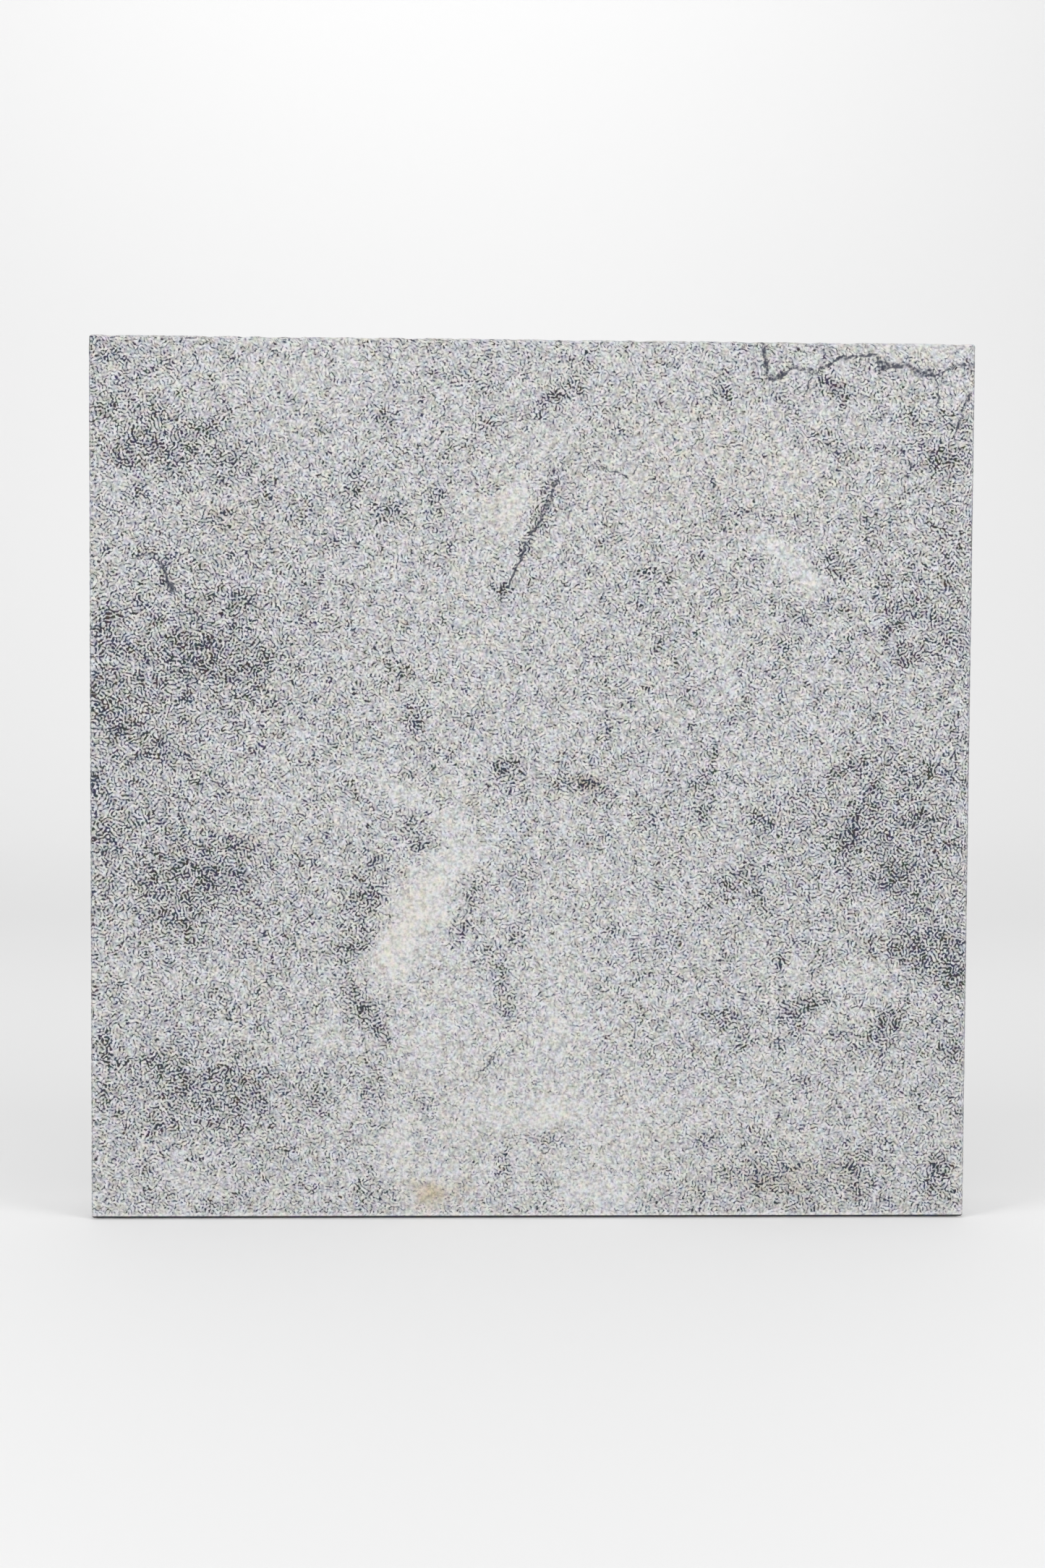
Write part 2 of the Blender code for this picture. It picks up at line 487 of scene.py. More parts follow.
@dataclass(frozen=True)
class HonedGranite:
    """Fine pale granite: honed on the working face, sawn elsewhere.

    Honing stops short of a polish, so the face is dull, with no image in it, and its mica shows as
    short dark threads between milky feldspar grains. The sawn faces are paler, because their broken
    crystals scatter light, and keep the saw's faint lines.

    Tones run from 0 for mica to 1 for bright feldspar. Drive is how far mica outweighs feldspar.
    """

    name: str = "honed_fine_granite"
    tones: tuple[tuple[float, str], ...] = (
        (0.235, "#1c1f2b"), (0.353, "#4a4c58"), (0.439, "#656770"), (0.541, "#83848a"),
        (0.671, "#a8a8a9"), (0.741, "#bbbbbb"), (0.8, "#c9c9c9"), (0.87, "#d4d4d3"),
        (0.96, "#dedddc"))
    base_tone: float = 0.732
    ior: float = 1.54
    roughness: float = 0.52
    thread_gloss: float = -0.15
    # Clouds: eddies stir them, thin them out here and thicken them there.
    eddies: Speckle = Speckle(7.5 * MM, 6, 3.0)
    mica_stir: float = 3.2
    feldspar_stir: float = -1.6
    eddy_reach: float = -1.085
    shaded_eddy_reach: float = -2.625
    deep_shade: float = 0.6
    most_drive: float = 0.86
    drive_softness: float = 0.6
    drive_tone: float = -0.075
    deep_drive_tone: Step = Step(0.5, 1.7, 0.0, -0.04)
    # Flocks: mica is dense and dark in some spots and nearly gone in others.
    flocks: Speckle = Speckle(1.9 * MM, 8, 1.0)
    drive_flock: float = 0.27
    flock_step: Step = Step(0.31, 0.69, 0.08, 1.4)
    drive_density: float = 0.55
    least_density: float = 0.35
    # Clots: here and there the threads run together into a small dark one.
    clots: Speckle = Speckle(2.3 * MM, 41, 2.0)
    drive_clot: float = 0.18
    clot_step: Step = Step(0.60, 0.70)
    clot_density: float = 0.4
    clot_width: float = 0.26
    # Threads: lines of mica about 0.4 mm wide that wind between the grains. Its single flakes are too
    # fine to show, so they are drawn together as these threads.
    thread_cell: float = 2.4 * MM
    thread_turns: float = 1.9
    thread_bend: Speckle = Speckle(2.6 * MM, 3, 2.0)
    thread_bend_reach: float = 1.6 * MM
    thread_width: float = 0.175
    drive_width: float = 0.09
    least_width: float = 0.08
    thread_depth: float = 0.46
    # Grains: milky crystals between the threads, each a little lighter or darker than the next.
    milk_step: Step = Step(0.3, 0.5, 0.0, 0.08)
    grains: Speckle = Speckle(1.1 * MM, 11, 2.0)
    grain_depth: float = 0.66
    # Tints: a faint change of hue from grain to grain, more of it on light grains.
    tints: Speckle = Speckle(2.3 * MM, 17, 3.0)
    tint_by_colour: Triple = (0.19, 0.14, 0.26)
    tint_least: Triple = (0.095, 0.06, 0.13)
    darkest: Triple = (0.005, 0.005, 0.005)
    iron_tint: str = "#ecdcbe"
    iron_share: float = 0.6
    # Fissures: healed cracks, whose line wavers round the crystals and breaks up here and there.
    fissure_colour: str = "#20263a"
    waver: Speckle = Speckle(2.2 * MM, 21, 2.0)
    waver_mm: float = 3.2
    break_up: Speckle = Speckle(1.2 * MM, 23, 1.0)
    break_up_step: Step = Step(0.32, 0.56, 0.25, 1.0)
    fissure_core: float = 0.35
    fissure_share_most: float = 0.9
    # Sawn faces: paler and rougher, with broken crystals and the saw's faint lines.
    sawn_step: Step = Step(-0.75, -0.35)
    sawn_tone: float = 0.05
    sawn_roughness: float = 0.22
    crystals: Speckle = Speckle(0.7 * MM, 29, 1.0)
    crystal_height: float = 0.12 * MM
    saw_pitch: float = 22 * MM
    saw_sway: float = 1.5
    saw_detail: float = 2.0
    saw_height: float = 0.05 * MM
    relief_step: Step = Step(0.0, 1.0, 0.15, 1.0)
    relief_strength: float = 0.8
    # Edges: painted highlight on level arrises, painted shade on upright ones, painted shadow at the foot.
    painted_highlight_step: Step = Step(0.15, 0.7, 0.0, 0.07)
    painted_side_shade_step: Step = Step(0.2, 0.7, 0.0, -0.10)
    flat_share: float = 0.99
    arris_step: Step = Step(-0.35, -0.15, 1.0, 0.0)
    # Painted floor light: a pale band just above the foot, with its threads thinned out.
    painted_floor_light_step: Step = Step(1.6 * MM, 2.6 * MM, 1.0, 0.0)
    painted_floor_light_tone: float = 0.08
    painted_floor_light_thinning: float = -0.75
    # The dark line at the very foot is a painted contact shadow.
    painted_foot_shadow_step: Step = Step(0.95 * MM, 1.15 * MM, -0.8, 0.0)
    off_underside_step: Step = Step(-0.98, -0.92)
    # How squarely a face must look along an axis to be covered from there, and for each sheet the axis
    # it looks along, how far its pattern shifts with depth, and the two axes it spans.
    squarely: float = 0.7
    sheets: tuple[tuple[str, float, str, str], ...] = (
        ("X", 2.3, "Y", "Z"), ("Z", 3.1, "X", "Y"), ("Y", 7.3, "X", "Z"))

    def build(self) -> bpy.types.Material:
        """Makes the material.

        Returns:
            The material, whose pattern lies in the block itself, so it runs on round each edge.
        """
        material = bpy.data.materials.new(self.name)
        material.use_nodes = True
        tree = material.node_tree
        add = partial(add_node, tree)
        shader = tree.nodes["Principled BSDF"]
        shader.inputs["IOR"].default_value = self.ior
        place = add(Kind.COORDINATES)
        spot, normal = place.outputs["Object"], place.outputs["Normal"]
        # The honed face looks along -Y.
        sawn = self.sawn_step.of(add, add(Kind.SPLIT, (normal,)).outputs["Y"])
        tone, threads = self.tone(add, spot, normal)
        tone = add(Kind.MATH, (sawn, self.sawn_tone, tone), operation="MULTIPLY_ADD")
        tone = add(Kind.MATH, (tone, self.painted_edge_light(add, spot, normal)), operation="ADD", use_clamp=True)
        tree.links.new(self.colour(add, spot, tone), shader.inputs["Base Color"])
        rough = add(Kind.MATH, (threads, self.thread_gloss, self.roughness), operation="MULTIPLY_ADD")
        rough = add(Kind.MATH, (sawn, self.sawn_roughness, rough), operation="MULTIPLY_ADD", use_clamp=True)
        tree.links.new(rough.outputs[0], shader.inputs["Roughness"])
        tree.links.new(self.relief(add, spot, sawn), shader.inputs["Normal"])
        return material

    def attribute(self, add: Adder, name: str) -> Socket:
        """The number that the mesh keeps under this name."""
        return add(Kind.ATTRIBUTE, attribute_name=name).outputs["Fac"]

    def sheet(self, add: Adder, spot: Socket, normal: Socket) -> Socket:
        """Flattens a point onto the face that it lies on, so that a flat pattern can cover it.

        Args:
            add: Adds a node to the tree.
            spot: The point, in metres.
            normal: The surface's direction there.

        Returns:
            The point on the face. Faces that look at each other get unlike parts of the pattern.
        """
        facing = add(Kind.SPLIT, (add(Kind.VECTOR, (normal,), operation="ABSOLUTE"),)).outputs
        parts = add(Kind.SPLIT, (spot,)).outputs
        flats = {}
        for deep, apart, across, up in self.sheets:
            aside = add(Kind.MATH, (parts[deep], apart, parts[across]), operation="MULTIPLY_ADD")
            flats[deep] = add(Kind.JOIN, (aside, parts[up]))
        on_top = add(Kind.MATH, (facing["Z"], self.squarely), operation="GREATER_THAN")
        on_front = add(Kind.MATH, (facing["Y"], self.squarely), operation="GREATER_THAN")
        rest = add(Kind.MIX, {0: on_top, 4: flats["X"], 5: flats["Z"]}, data_type="VECTOR").outputs[1]
        return add(Kind.MIX, {0: on_front, 4: rest, 5: flats["Y"]}, data_type="VECTOR").outputs[1]

    def drive(self, add: Adder, spot: Socket) -> Node:
        """Works out how far mica outweighs feldspar, in ragged clouds.

        Args:
            add: Adds a node to the tree.
            spot: The point, in metres.

        Returns:
            The drive: above 0 in a dark cloud and below 0 in a pale one.
        """
        mica = self.attribute(add, Mineral.MICA.value)
        feldspar = self.attribute(add, Mineral.FELDSPAR.value)
        eddy = self.eddies.swing(add, spot)
        shade = add(Kind.MATH, (mica, self.deep_shade), operation="MINIMUM")
        stirred = add(Kind.MATH, (eddy, self.mica_stir, 1.0), operation="MULTIPLY_ADD")
        mica = add(Kind.MATH, (mica, stirred), operation="MULTIPLY")
        stirred = add(Kind.MATH, (eddy, self.feldspar_stir, 1.0), operation="MULTIPLY_ADD")
        feldspar = add(Kind.MATH, (feldspar, stirred), operation="MULTIPLY")
        mica = add(Kind.MATH, (mica, 0.0), operation="MAXIMUM")
        drive = add(Kind.MATH, (mica, feldspar), operation="SUBTRACT")
        # The eddies run deeper where the stone holds more mica.
        reach = add(Kind.MATH, (shade, self.shaded_eddy_reach, self.eddy_reach), operation="MULTIPLY_ADD")
        drive = add(Kind.MATH, (eddy, reach, drive), operation="MULTIPLY_ADD")
        return add(Kind.MATH, (drive, self.most_drive, self.drive_softness), operation="SMOOTH_MIN")

    def tone(self, add: Adder, spot: Socket, normal: Socket) -> tuple[Node, Node]:
        """Works out how light the stone is at a point.

        Args:
            add: Adds a node to the tree.
            spot: The point, in metres.
            normal: The surface's direction there.

        Returns:
            The tone, and how much of it the mica threads take away.
        """
        drive = self.drive(add, spot)
        # Painted floor light: a band on the lower arris is painted pale, with hardly a thread left in it, as
        # if lit from the floor.
        painted_floor_light = self.painted_floor_light_step.of(add, add(Kind.SPLIT, (spot,)).outputs["Z"])
        density, width = self.mica_share(add, spot, drive)
        left = add(Kind.MATH, (painted_floor_light, self.painted_floor_light_thinning, 1.0), operation="MULTIPLY_ADD")
        density = add(Kind.MATH, (density, left), operation="MULTIPLY")
        from_line = self.from_thread(add, spot, normal)
        threads = add(Kind.RANGE, (from_line, 0.0, width, self.thread_depth, 0.0),
                      interpolation_type="SMOOTHSTEP")
        threads = add(Kind.MATH, (threads, density), operation="MULTIPLY")
        grain = self.grains.swing(add, spot)
        tone = add(Kind.MATH, (grain, self.grain_depth, self.base_tone), operation="MULTIPLY_ADD")
        tone = add(Kind.MATH, (drive, self.drive_tone, tone), operation="MULTIPLY_ADD")
        tone = add(Kind.MATH, (tone, self.deep_drive_tone.of(add, drive)), operation="ADD")
        # The painted floor light makes the band paler.
        tone = add(Kind.MATH, (painted_floor_light, self.painted_floor_light_tone, tone), operation="MULTIPLY_ADD")
        tone = add(Kind.MATH, (tone, self.milk_step.of(add, from_line)), operation="ADD")
        return add(Kind.MATH, (tone, threads), operation="SUBTRACT", use_clamp=True), threads

    def mica_share(self, add: Adder, spot: Socket, drive: Node) -> tuple[Node, Node]:
        """Works out how dense the mica is and how wide its threads are.

        Args:
            add: Adds a node to the tree.
            spot: The point, in metres.
            drive: How far mica outweighs feldspar there.

        Returns:
            The density, which scales how dark a thread is, and a thread's width as a share of a turn.
        """
        flock = add(Kind.MATH, (drive, self.drive_flock, self.flocks.of(add, spot)), operation="MULTIPLY_ADD")
        density = add(Kind.MATH, (drive, self.drive_density, 1.0), operation="MULTIPLY_ADD")
        density = add(Kind.MATH, (density, self.least_density), operation="MAXIMUM")
        density = add(Kind.MATH, (self.flock_step.of(add, flock), density), operation="MULTIPLY")
        width = add(Kind.MATH, (drive, self.drive_width, self.thread_width), operation="MULTIPLY_ADD")
        width = add(Kind.MATH, (width, self.least_width), operation="MAXIMUM")
        clot = add(Kind.MATH, (drive, self.drive_clot, self.clots.of(add, spot)), operation="MULTIPLY_ADD")
        clot = self.clot_step.of(add, clot)
        density = add(Kind.MATH, (clot, self.clot_density, density), operation="MULTIPLY_ADD")
        width = add(Kind.MATH, (clot, self.clot_width, width), operation="MULTIPLY_ADD")
        return density, width

    def from_thread(self, add: Adder, spot: Socket, normal: Socket) -> Node:
        """Works out how far a point is from the nearest thread of mica.

        Args:
            add: Adds a node to the tree.
            spot: The point, in metres.
            normal: The surface's direction there.

        Returns:
            The distance, from 0 on a thread to 0.5 halfway between two, as a share of a turn.
        """
        reach = (self.thread_bend_reach,) * 3
        bend = add(Kind.VECTOR, (self.thread_bend.push(add, spot), reach), operation="MULTIPLY")
        flat = add(Kind.VECTOR, (self.sheet(add, spot, normal), bend), operation="ADD")
        waves = add(Kind.GABOR, {"Vector": flat, "Scale": 1 / self.thread_cell,
                                 "Frequency": self.thread_turns, "Anisotropy": 0.0})
        # Each thread lies where the waves turn.
        turned = add(Kind.MATH, (waves.outputs["Phase"], 0.5), operation="SUBTRACT")
        return add(Kind.MATH, (turned,), operation="ABSOLUTE")

    def colour(self, add: Adder, spot: Socket, tone: Node) -> Socket:
        """Colours the tone, then adds the faint tints, the iron and the fissures.

        Args:
            add: Adds a node to the tree.
            spot: The point, in metres.
            tone: How light the stone is there.

        Returns:
            The stone's colour.
        """
        ramp = add(Kind.COLOURS, (tone,))
        while len(ramp.color_ramp.elements) < len(self.tones):
            ramp.color_ramp.elements.new(0.5)
        for element, (position, code) in zip(ramp.color_ramp.elements, self.tones):
            element.position = position
            element.color = srgb(code)
        share = add(Kind.VECTOR, (ramp, self.tint_by_colour, self.tint_least), operation="MULTIPLY_ADD")
        colour = add(Kind.VECTOR, (self.tints.push(add, spot), share, ramp), operation="MULTIPLY_ADD")
        colour = add(Kind.VECTOR, (colour, self.darkest), operation="MAXIMUM")
        iron = self.attribute(add, Mineral.IRON.value)
        iron = add(Kind.MATH, (iron, self.iron_share), operation="MULTIPLY", use_clamp=True)
        stained = add(Kind.MIX, {0: iron, 6: colour, 7: srgb(self.iron_tint)}, data_type="RGBA",
                      blend_type="MULTIPLY").outputs[2]
        cracked = {0: self.fissure_share(add, spot), 6: stained, 7: srgb(self.fissure_colour)}
        return add(Kind.MIX, cracked, data_type="RGBA", blend_type="MIX").outputs[2]

    def fissure_share(self, add: Adder, spot: Socket) -> Node:
        """Works out how far a point lies inside a fissure.

        Args:
            add: Adds a node to the tree.
            spot: The point, in metres.

        Returns:
            The fissure's share of the colour.
        """
        width = self.attribute(add, FISSURE_WIDTH)
        aside = (self.waver.swing(add, spot), self.waver_mm, self.attribute(add, FISSURE_DISTANCE))
        distance = add(Kind.MATH, (add(Kind.MATH, aside, operation="MULTIPLY_ADD"),), operation="ABSOLUTE")
        core = add(Kind.MATH, (width, self.fissure_core), operation="MULTIPLY")
        inside = add(Kind.RANGE, (distance, core, width, self.fissure_share_most, 0.0),
                     interpolation_type="SMOOTHSTEP")
        whole = self.break_up_step.of(add, self.break_up.of(add, spot))
        return add(Kind.MATH, (inside, whole), operation="MULTIPLY")

    def painted_edge_light(self, add: Adder, spot: Socket, normal: Socket) -> Node:
        """How the stone's tone changes where the surface turns away from the honed face.

        The arrises were eased by hand. The front's upper and lower arrises are painted paler, a painted
        highlight as if lit from above and by the floor. The upright ones are painted darker, as painted
        shade. The lower arris is painted dark at its very foot, as a painted contact shadow.

        Args:
            add: Adds a node to the tree.
            spot: The point, in metres.
            normal: The surface's direction.

        Returns:
            The change of tone.
        """
        facing = add(Kind.SPLIT, (normal,)).outputs
        away = add(Kind.SPLIT, (add(Kind.VECTOR, (normal,), operation="ABSOLUTE"),)).outputs
        # Painted highlight: the upper and lower front arrises are painted paler, as if lit from above and by
        # the floor.
        level = self.painted_highlight_step.of(add, away["Z"])
        # Painted shade: the upright front arrises are painted darker.
        upright = self.painted_side_shade_step.of(add, away["X"])
        change = add(Kind.MATH, (level, upright), operation="ADD")
        turned = add(Kind.MATH, (away["Y"], self.flat_share), operation="LESS_THAN")
        on_arris = add(Kind.MATH, (turned, self.arris_step.of(add, facing["Y"])), operation="MULTIPLY")
        # Painted shadow: a dark line painted along the very foot of the front, where the slab meets the
        # floor.
        foot_shadow = self.painted_foot_shadow_step.of(add, add(Kind.SPLIT, (spot,)).outputs["Z"])
        off_underside = self.off_underside_step.of(add, facing["Z"])
        foot_shadow = add(Kind.MATH, (foot_shadow, off_underside), operation="MULTIPLY")
        return add(Kind.MATH, (change, on_arris, foot_shadow), operation="MULTIPLY_ADD")

    def relief(self, add: Adder, spot: Socket, sawn: Node) -> Socket:
        """The fine relief: crystals stand a little unevenly, and the saw leaves shallow lines.

        Args:
            add: Adds a node to the tree.
            spot: The point, in metres.
            sawn: 1 on the sawn faces.

        Returns:
            The bent normal.
        """
        inputs = {"Vector": spot, "Scale": 1 / self.saw_pitch, "Distortion": self.saw_sway,
                  "Detail": self.saw_detail, "Detail Scale": self.saw_detail}
        lines = add(Kind.WAVES, inputs, wave_type="BANDS", bands_direction="DIAGONAL").outputs["Fac"]
        scored = add(Kind.MATH, (lines, self.saw_height), operation="MULTIPLY")
        broken = (self.crystals.of(add, spot), self.crystal_height, scored)
        height = add(Kind.MATH, broken, operation="MULTIPLY_ADD")
        height = add(Kind.MATH, (height, self.relief_step.of(add, sawn)), operation="MULTIPLY")
        bump = add(Kind.BUMP, {"Height": height, "Distance": 1.0, "Strength": self.relief_strength})
        return bump.outputs[0]


@dataclass(frozen=True)
class WhiteSweep:
    """Matt white backdrop board, which the slab stands on. It isn't part of the slab.

    Its flat paint scatters light evenly, so it shows soft shade and no reflection.
    """

    name: str = "matt_white_backdrop_board"
    colour: str = "#f2f2f2"
    roughness: float = 0.9

    def build(self) -> bpy.types.Material:
        """Makes the material.

        Returns:
            The material.
        """
        material = bpy.data.materials.new(self.name)
        material.use_nodes = True
        shader = material.node_tree.nodes["Principled BSDF"]
        shader.inputs["Base Color"].default_value = srgb(self.colour)
        shader.inputs["Roughness"].default_value = self.roughness
        return material


# ---------------------------------------------------------------------------------------------------
# The slab
# ---------------------------------------------------------------------------------------------------


@dataclass(frozen=True)
class SawnSlab:
    """The block of stone, with its eased edges.

    The shape follows a rule, so a node tree makes it: a box of cells whose outer rows are drawn into
    each edge and bent round it, then worn and chipped a little.
    """

    width: float
    thickness: float
    height: float
    work_arris: float = 1.1 * MM
    back_arris: float = 0.9 * MM
    wear: float = 0.08 * MM
    chip_depth: float = 0.5 * MM
    relieved: float = 0.3 * MM
    bearing: float = 20 * MM
    face_cells: int = 188
    depth_cells: int = 12
    round_cells: int = 4
    # The arris radius changes over the middle of the depth, where no edge shows it.
    radius_change: tuple[float, float] = (-0.6, 0.6)
    # Wear and chips fade within a few mm of an edge. The top edge is the most chipped.
    edge_step: Step = Step(0.3 * MM, 4 * MM, 1.0, 0.0)
    top_step: Step = Step(1.5 * MM, 5 * MM, 1.0, 0.0)
    waviness: Speckle = Speckle(9 * MM, 31, 1.0)
    chips: Speckle = Speckle(4.2 * MM, 37, 1.0)
    chip_step: Step = Step(0.42, 0.72)
    chip_share: Step = Step(0.0, 1.0, 0.12, 1.0)
    # The foot bears on a strip along its middle and is relieved outside it.
    bearing_step: Step = Step(0.0, 1.2 * MM)
    foot_step: Step = Step(1.5 * MM, 6 * MM, 1.0, 0.0)

    def inputs(self) -> dict[str, float | int]:
        """The node tree's inputs by name, each with its size in metres or its number of cells."""
        return {"Width": self.width, "Thickness": self.thickness, "Height": self.height,
                "Work Arris": self.work_arris, "Back Arris": self.back_arris, "Wear": self.wear,
                "Chip Depth": self.chip_depth, "Relieved": self.relieved, "Bearing": self.bearing,
                "Face Cells": self.face_cells, "Depth Cells": self.depth_cells,
                "Round Cells": self.round_cells}

    def tree(self, material: bpy.types.Material) -> bpy.types.NodeTree:
        """Builds the node tree that makes the block.

        Args:
            material: The stone's finish.

        Returns:
            A geometry node tree with the sizes as named inputs.
        """
        tree = bpy.data.node_groups.new("sawn_block", "GeometryNodeTree")
        tree.interface.new_socket("Geometry", in_out="OUTPUT", socket_type="NodeSocketGeometry")
        for name, value in self.inputs().items():
            kind = "NodeSocketInt" if isinstance(value, int) else "NodeSocketFloat"
            tree.interface.new_socket(name, in_out="INPUT", socket_type=kind)
        add = partial(add_node, tree)
        given = add(Kind.GROUP_INPUT).outputs
        spot, half = self.rounded(add, given)
        spot = self.stood(add, given, self.worn(add, given, spot, half))
        # Each side of a face has its round cells as well, and a row has one more point than cells.
        rows = add(Kind.MATH, (given["Round Cells"], 2.0, 1.0), operation="MULTIPLY_ADD")
        face = add(Kind.MATH, (given["Face Cells"], rows), operation="ADD")
        deep = add(Kind.MATH, (given["Depth Cells"], rows), operation="ADD")
        # The box of cells runs from -1 to 1 each way, and its points are then moved onto the block.
        cube = add(Kind.CUBE, {"Size": (2, 2, 2), "Vertices X": face, "Vertices Y": deep, "Vertices Z": face})
        shape = add(Kind.SET_POSITION, {"Geometry": cube, "Position": spot})
        real = add(Kind.REALIZE, (add(Kind.SET_SMOOTH, (shape,)),))
        dressed = add(Kind.SET_MATERIAL, {"Geometry": real, "Material": material})
        add(Kind.GROUP_OUTPUT, (dressed,))
        return tree

    def rounded(self, add: Adder, given: bpy.types.bpy_prop_collection) -> tuple[Node, Node]:
        """Places a cell corner of the box on the block with rounded edges.

        Args:
            add: Adds a node to the tree.
            given: The tree's named inputs.

        Returns:
            The point, about the block's own middle, and half the block's size.
        """
        unit = add(Kind.POSITION)
        size = add(Kind.JOIN, (given["Width"], given["Thickness"], given["Height"]))
        half = add(Kind.VECTOR, {0: size, "Scale": 0.5}, operation="SCALE")
        depth = add(Kind.SPLIT, (unit,)).outputs["Y"]
        ends = (depth, *self.radius_change, given["Work Arris"], given["Back Arris"])
        radius = add(Kind.RANGE, ends, interpolation_type="SMOOTHSTEP")
        # The core is the block without its rounds, and the rim is how far the rounds stand off it.
        core = add(Kind.VECTOR, (half, add(Kind.JOIN, (radius,) * 3)), operation="SUBTRACT")
        rim = add(Kind.VECTOR, (half, core), operation="SUBTRACT")
        # Steps from the middle: the flat takes the first of them, and the last ones turn the edge.
        cells = add(Kind.JOIN, (given["Face Cells"], given["Depth Cells"], given["Face Cells"]))
        flat = add(Kind.VECTOR, {0: cells, "Scale": 0.5}, operation="SCALE")
        rows = add(Kind.JOIN, (given["Round Cells"],) * 3)
        away = add(Kind.VECTOR, (unit,), operation="ABSOLUTE")
        every = add(Kind.VECTOR, (flat, rows), operation="ADD")
        steps = add(Kind.VECTOR, (away, every), operation="MULTIPLY")
        within = add(Kind.VECTOR, (steps, flat), operation="MINIMUM")
        within = add(Kind.VECTOR, (within, flat), operation="DIVIDE")
        over = add(Kind.VECTOR, (steps, flat), operation="SUBTRACT")
        over = add(Kind.VECTOR, (over, (0.0, 0.0, 0.0)), operation="MAXIMUM")
        turn = add(Kind.VECTOR, (over, rows), operation="DIVIDE")
        turn = add(Kind.VECTOR, (turn, (math.pi / 4,) * 3), operation="MULTIPLY")
        reach = add(Kind.VECTOR, (turn,), operation="TANGENT")
        reach = add(Kind.VECTOR, (reach, rim), operation="MULTIPLY")
        sharp = add(Kind.VECTOR, (within, core, reach), operation="MULTIPLY_ADD")
        side = add(Kind.VECTOR, (unit,), operation="SIGN")
        sharp = add(Kind.VECTOR, (sharp, side), operation="MULTIPLY")
        # The sharp block's point is drawn onto the round: kept is the core's nearest point to it.
        opposite = add(Kind.VECTOR, {0: core, "Scale": -1.0}, operation="SCALE")
        kept = add(Kind.VECTOR, (sharp, core), operation="MINIMUM")
        kept = add(Kind.VECTOR, (kept, opposite), operation="MAXIMUM")
        outward = add(Kind.VECTOR, (sharp, kept), operation="SUBTRACT")
        outward = add(Kind.VECTOR, (outward,), operation="NORMALIZE")
        return add(Kind.VECTOR, (outward, rim, kept), operation="MULTIPLY_ADD"), half

    def worn(self, add: Adder, given: bpy.types.bpy_prop_collection, spot: Node, half: Node) -> Node:
        """Wears and chips the edges.

        Args:
            add: Adds a node to the tree.
            given: The tree's named inputs.
            spot: A point of the rounded block, about its middle.
            half: Half the block's size.

        Returns:
            The point, drawn in along its normal.
        """
        away = add(Kind.VECTOR, (spot,), operation="ABSOLUTE")
        gap = add(Kind.SPLIT, (add(Kind.VECTOR, (half, away), operation="SUBTRACT"),)).outputs
        # The middle one of the three distances to the faces says how near the closest edge is.
        nearer = add(Kind.MATH, (gap["X"], gap["Y"]), operation="MINIMUM")
        further = add(Kind.MATH, (gap["X"], gap["Y"]), operation="MAXIMUM")
        to_edge = add(Kind.MATH, (further, gap["Z"]), operation="MINIMUM")
        to_edge = add(Kind.MATH, (nearer, to_edge), operation="MAXIMUM")
        side = add(Kind.SPLIT, (add(Kind.VECTOR, (spot,), operation="SIGN"),)).outputs
        upper = add(Kind.MATH, (side["Z"], 0.0), operation="MAXIMUM")
        on_top = add(Kind.MATH, (self.top_step.of(add, gap["Z"]), upper), operation="MULTIPLY")
        chips = self.chip_step.of(add, self.chips.of(add, spot))
        chips = add(Kind.MATH, (chips, self.chip_share.of(add, on_top)), operation="MULTIPLY")
        wear = add(Kind.MATH, (self.waviness.of(add, spot), given["Wear"]), operation="MULTIPLY")
        loss = add(Kind.MATH, (chips, given["Chip Depth"], wear), operation="MULTIPLY_ADD")
        loss = add(Kind.MATH, (loss, self.edge_step.of(add, to_edge)), operation="MULTIPLY")
        drawn = add(Kind.VECTOR, {0: add(Kind.NORMAL), "Scale": loss}, operation="SCALE")
        return add(Kind.VECTOR, (spot, drawn), operation="SUBTRACT")

    def stood(self, add: Adder, given: bpy.types.bpy_prop_collection, spot: Node) -> Node:
        """Relieves the foot and stands the block on it.

        Args:
            add: Adds a node to the tree.
            given: The tree's named inputs.
            spot: A point of the block, about its middle.

        Returns:
            The point's final place.
        """
        parts = add(Kind.SPLIT, (spot,)).outputs
        off_middle = add(Kind.MATH, (parts["Y"],), operation="ABSOLUTE")
        off_bearing = add(Kind.MATH, (given["Bearing"], -0.5, off_middle), operation="MULTIPLY_ADD")
        above = add(Kind.MATH, (given["Height"], 0.5, parts["Z"]), operation="MULTIPLY_ADD")
        near_foot = add(Kind.MATH, (self.foot_step.of(add, above), given["Relieved"]), operation="MULTIPLY")
        relieved = self.bearing_step.of(add, off_bearing)
        up = add(Kind.MATH, (relieved, near_foot, above), operation="MULTIPLY_ADD")
        return add(Kind.JOIN, (parts["X"], parts["Y"], up))

    def build(self, material: bpy.types.Material) -> bpy.types.Object:
        """Makes the slab as one plain, closed mesh.

        Args:
            material: The stone's finish.

        Returns:
            The slab's object, at the origin, with its place in its mesh.
        """
        blank = bpy.data.objects.new("slab_maker", bpy.data.meshes.new("slab_maker"))
        bpy.context.scene.collection.objects.link(blank)
        maker = blank.modifiers.new("sawn_block", "NODES")
        maker.node_group = self.tree(material)
        sizes = self.inputs()
        for socket in maker.node_group.interface.items_tree:
            if socket.in_out == "INPUT":
                maker[socket.identifier] = sizes[socket.name]
        graph = bpy.context.evaluated_depsgraph_get()
        mesh = bpy.data.meshes.new_from_object(blank.evaluated_get(graph))
        bpy.data.objects.remove(blank)
        # The cube comes with an empty material slot, which no face uses once the stone is set.
        mesh.materials.pop(index=0)
        slab = bpy.data.objects.new("dressed_granite_slab", mesh)
        bpy.context.scene.collection.objects.link(slab)
        return slab


